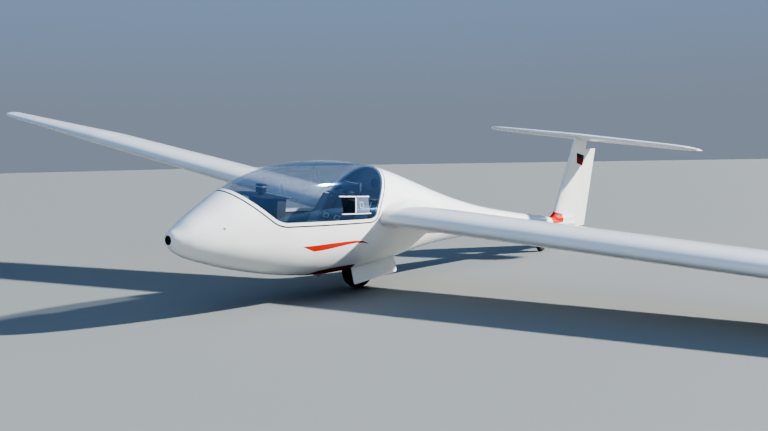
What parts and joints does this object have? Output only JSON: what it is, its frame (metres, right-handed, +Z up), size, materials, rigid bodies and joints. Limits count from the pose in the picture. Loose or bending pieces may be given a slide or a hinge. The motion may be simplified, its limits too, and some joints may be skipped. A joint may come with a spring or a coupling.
{
  "type": "single-seat sailplane glider",
  "caption": "Single-seat T-tail sailplane parked on main wheel, tail wheel and port wing tip, with opening canopy and working control surfaces.",
  "frame": {"origin": "middle of the bounding box, on the ground", "axes": "+X aft, +Y starboard, +Z up; the glider is banked about 7 degrees to port, onto its port wing tip"},
  "size_m": [6.4518, 14.8694, 1.9549],
  "materials": {
    "white_gelcoat": "polished gelcoat",
    "acrylic": "clear, faint blue tint",
    "tyre": "worn",
    "black_plastic": "satin",
    "grey_panel": "satin",
    "bare_aluminium": "brushed",
    "painted_steel": "semi-gloss",
    "upholstery": "woven"
  },
  "bodies": {
    "airframe": {"fuselage_port": "white_gelcoat", "fuselage_starboard": "white_gelcoat", "wing_port": "white_gelcoat", "wing_starboard": "white_gelcoat", "tip_skid_port": "black_plastic", "tip_skid_starboard": "black_plastic", "tailplane": "white_gelcoat", "main_axle": "bare_aluminium", "gear_fork": "painted_steel", "wheel_box": "white_gelcoat", "gear_door_port": "white_gelcoat", "gear_door_starboard": "white_gelcoat", "tail_axle": "bare_aluminium", "tail_fairing": "white_gelcoat", "nose_vent": "black_plastic", "tow_hook": "painted_steel", "seat_pan": "white_gelcoat", "seat_cushion": "upholstery", "back_cushion": "upholstery", "rear_shelf": "white_gelcoat", "headrest": "upholstery", "instrument_pod": "grey_panel", "panel_hood": "black_plastic", "compass": "black_plastic", "control_stick": "black_plastic", "rudder_pedals": "bare_aluminium", "console_port": "grey_panel", "console_starboard": "grey_panel"},
    "canopy": {"canopy_frame": "white_gelcoat", "canopy_glass": "acrylic", "vent_rail_upper": "painted_steel", "vent_rail_lower": "painted_steel", "vent_window": "acrylic"},
    "port_aileron": {"aileron_port": "white_gelcoat"},
    "starboard_aileron": {"aileron_starboard": "white_gelcoat"},
    "port_airbrake": {"airbrake_port": "bare_aluminium"},
    "starboard_airbrake": {"airbrake_starboard": "bare_aluminium"},
    "tail_elevator": {"elevator": "white_gelcoat"},
    "tail_rudder": {"rudder": "white_gelcoat"},
    "main_wheel": {"main_tyre": "tyre", "main_rim": "bare_aluminium"},
    "tail_wheel": {"tail_tyre": "tyre", "tail_hub": "bare_aluminium"}
  },
  "joints": [
    {"name": "canopy_hinge", "type": "hinge", "parent": "airframe", "child": "canopy", "pos_m": [-1.89795, 0.38123, 0.69238], "axis": [-1, 0, -0.0001], "range_deg": [0, 75]},
    {"name": "aileron_port_hinge", "type": "hinge", "parent": "airframe", "child": "port_aileron", "pos_m": [-0.60034, -4.39765, 0.2982], "axis": [0.0343, 0.9953, 0.09], "range_deg": [-18, 18]},
    {"name": "aileron_starboard_hinge", "type": "hinge", "parent": "airframe", "child": "starboard_aileron", "pos_m": [-0.60044, 4.4289, 1.43921], "axis": [-0.0343, 0.9855, 0.166], "range_deg": [-18, 18]},
    {"name": "airbrake_port_slide", "type": "slide", "parent": "airframe", "child": "port_airbrake", "axis": [0.0575, -0.0763, 0.9954], "range_m": [0, 0.1]},
    {"name": "airbrake_starboard_slide", "type": "slide", "parent": "airframe", "child": "starboard_airbrake", "axis": [0.0575, -0.1794, 0.9821], "range_m": [0, 0.1]},
    {"name": "elevator_hinge", "type": "hinge", "parent": "airframe", "child": "tail_elevator", "pos_m": [3.02169, -0.047, 1.3535], "axis": [0, 0.9917, 0.1282], "range_deg": [-28, 22]},
    {"name": "rudder_hinge", "type": "hinge", "parent": "airframe", "child": "tail_rudder", "pos_m": [2.80675, 0.09647, 0.24357], "axis": [0.0846, -0.1277, 0.9882], "range_deg": [-30, 30]},
    {"name": "main_wheel_spin", "type": "hinge", "parent": "airframe", "child": "main_wheel", "pos_m": [-1.2029, 0.10481, 0.17876], "axis": [0, 0.9917, 0.1282], "continuous": true},
    {"name": "tail_wheel_spin", "type": "hinge", "parent": "airframe", "child": "tail_wheel", "pos_m": [2.0871, 0.11519, 0.09871], "axis": [0, 0.9917, 0.1282], "continuous": true}
  ],
  "couplings": [
    {"joint": "aileron_starboard_hinge", "follows": "aileron_port_hinge", "ratio": -1},
    {"joint": "airbrake_starboard_slide", "follows": "airbrake_port_slide", "ratio": 1}
  ]
}
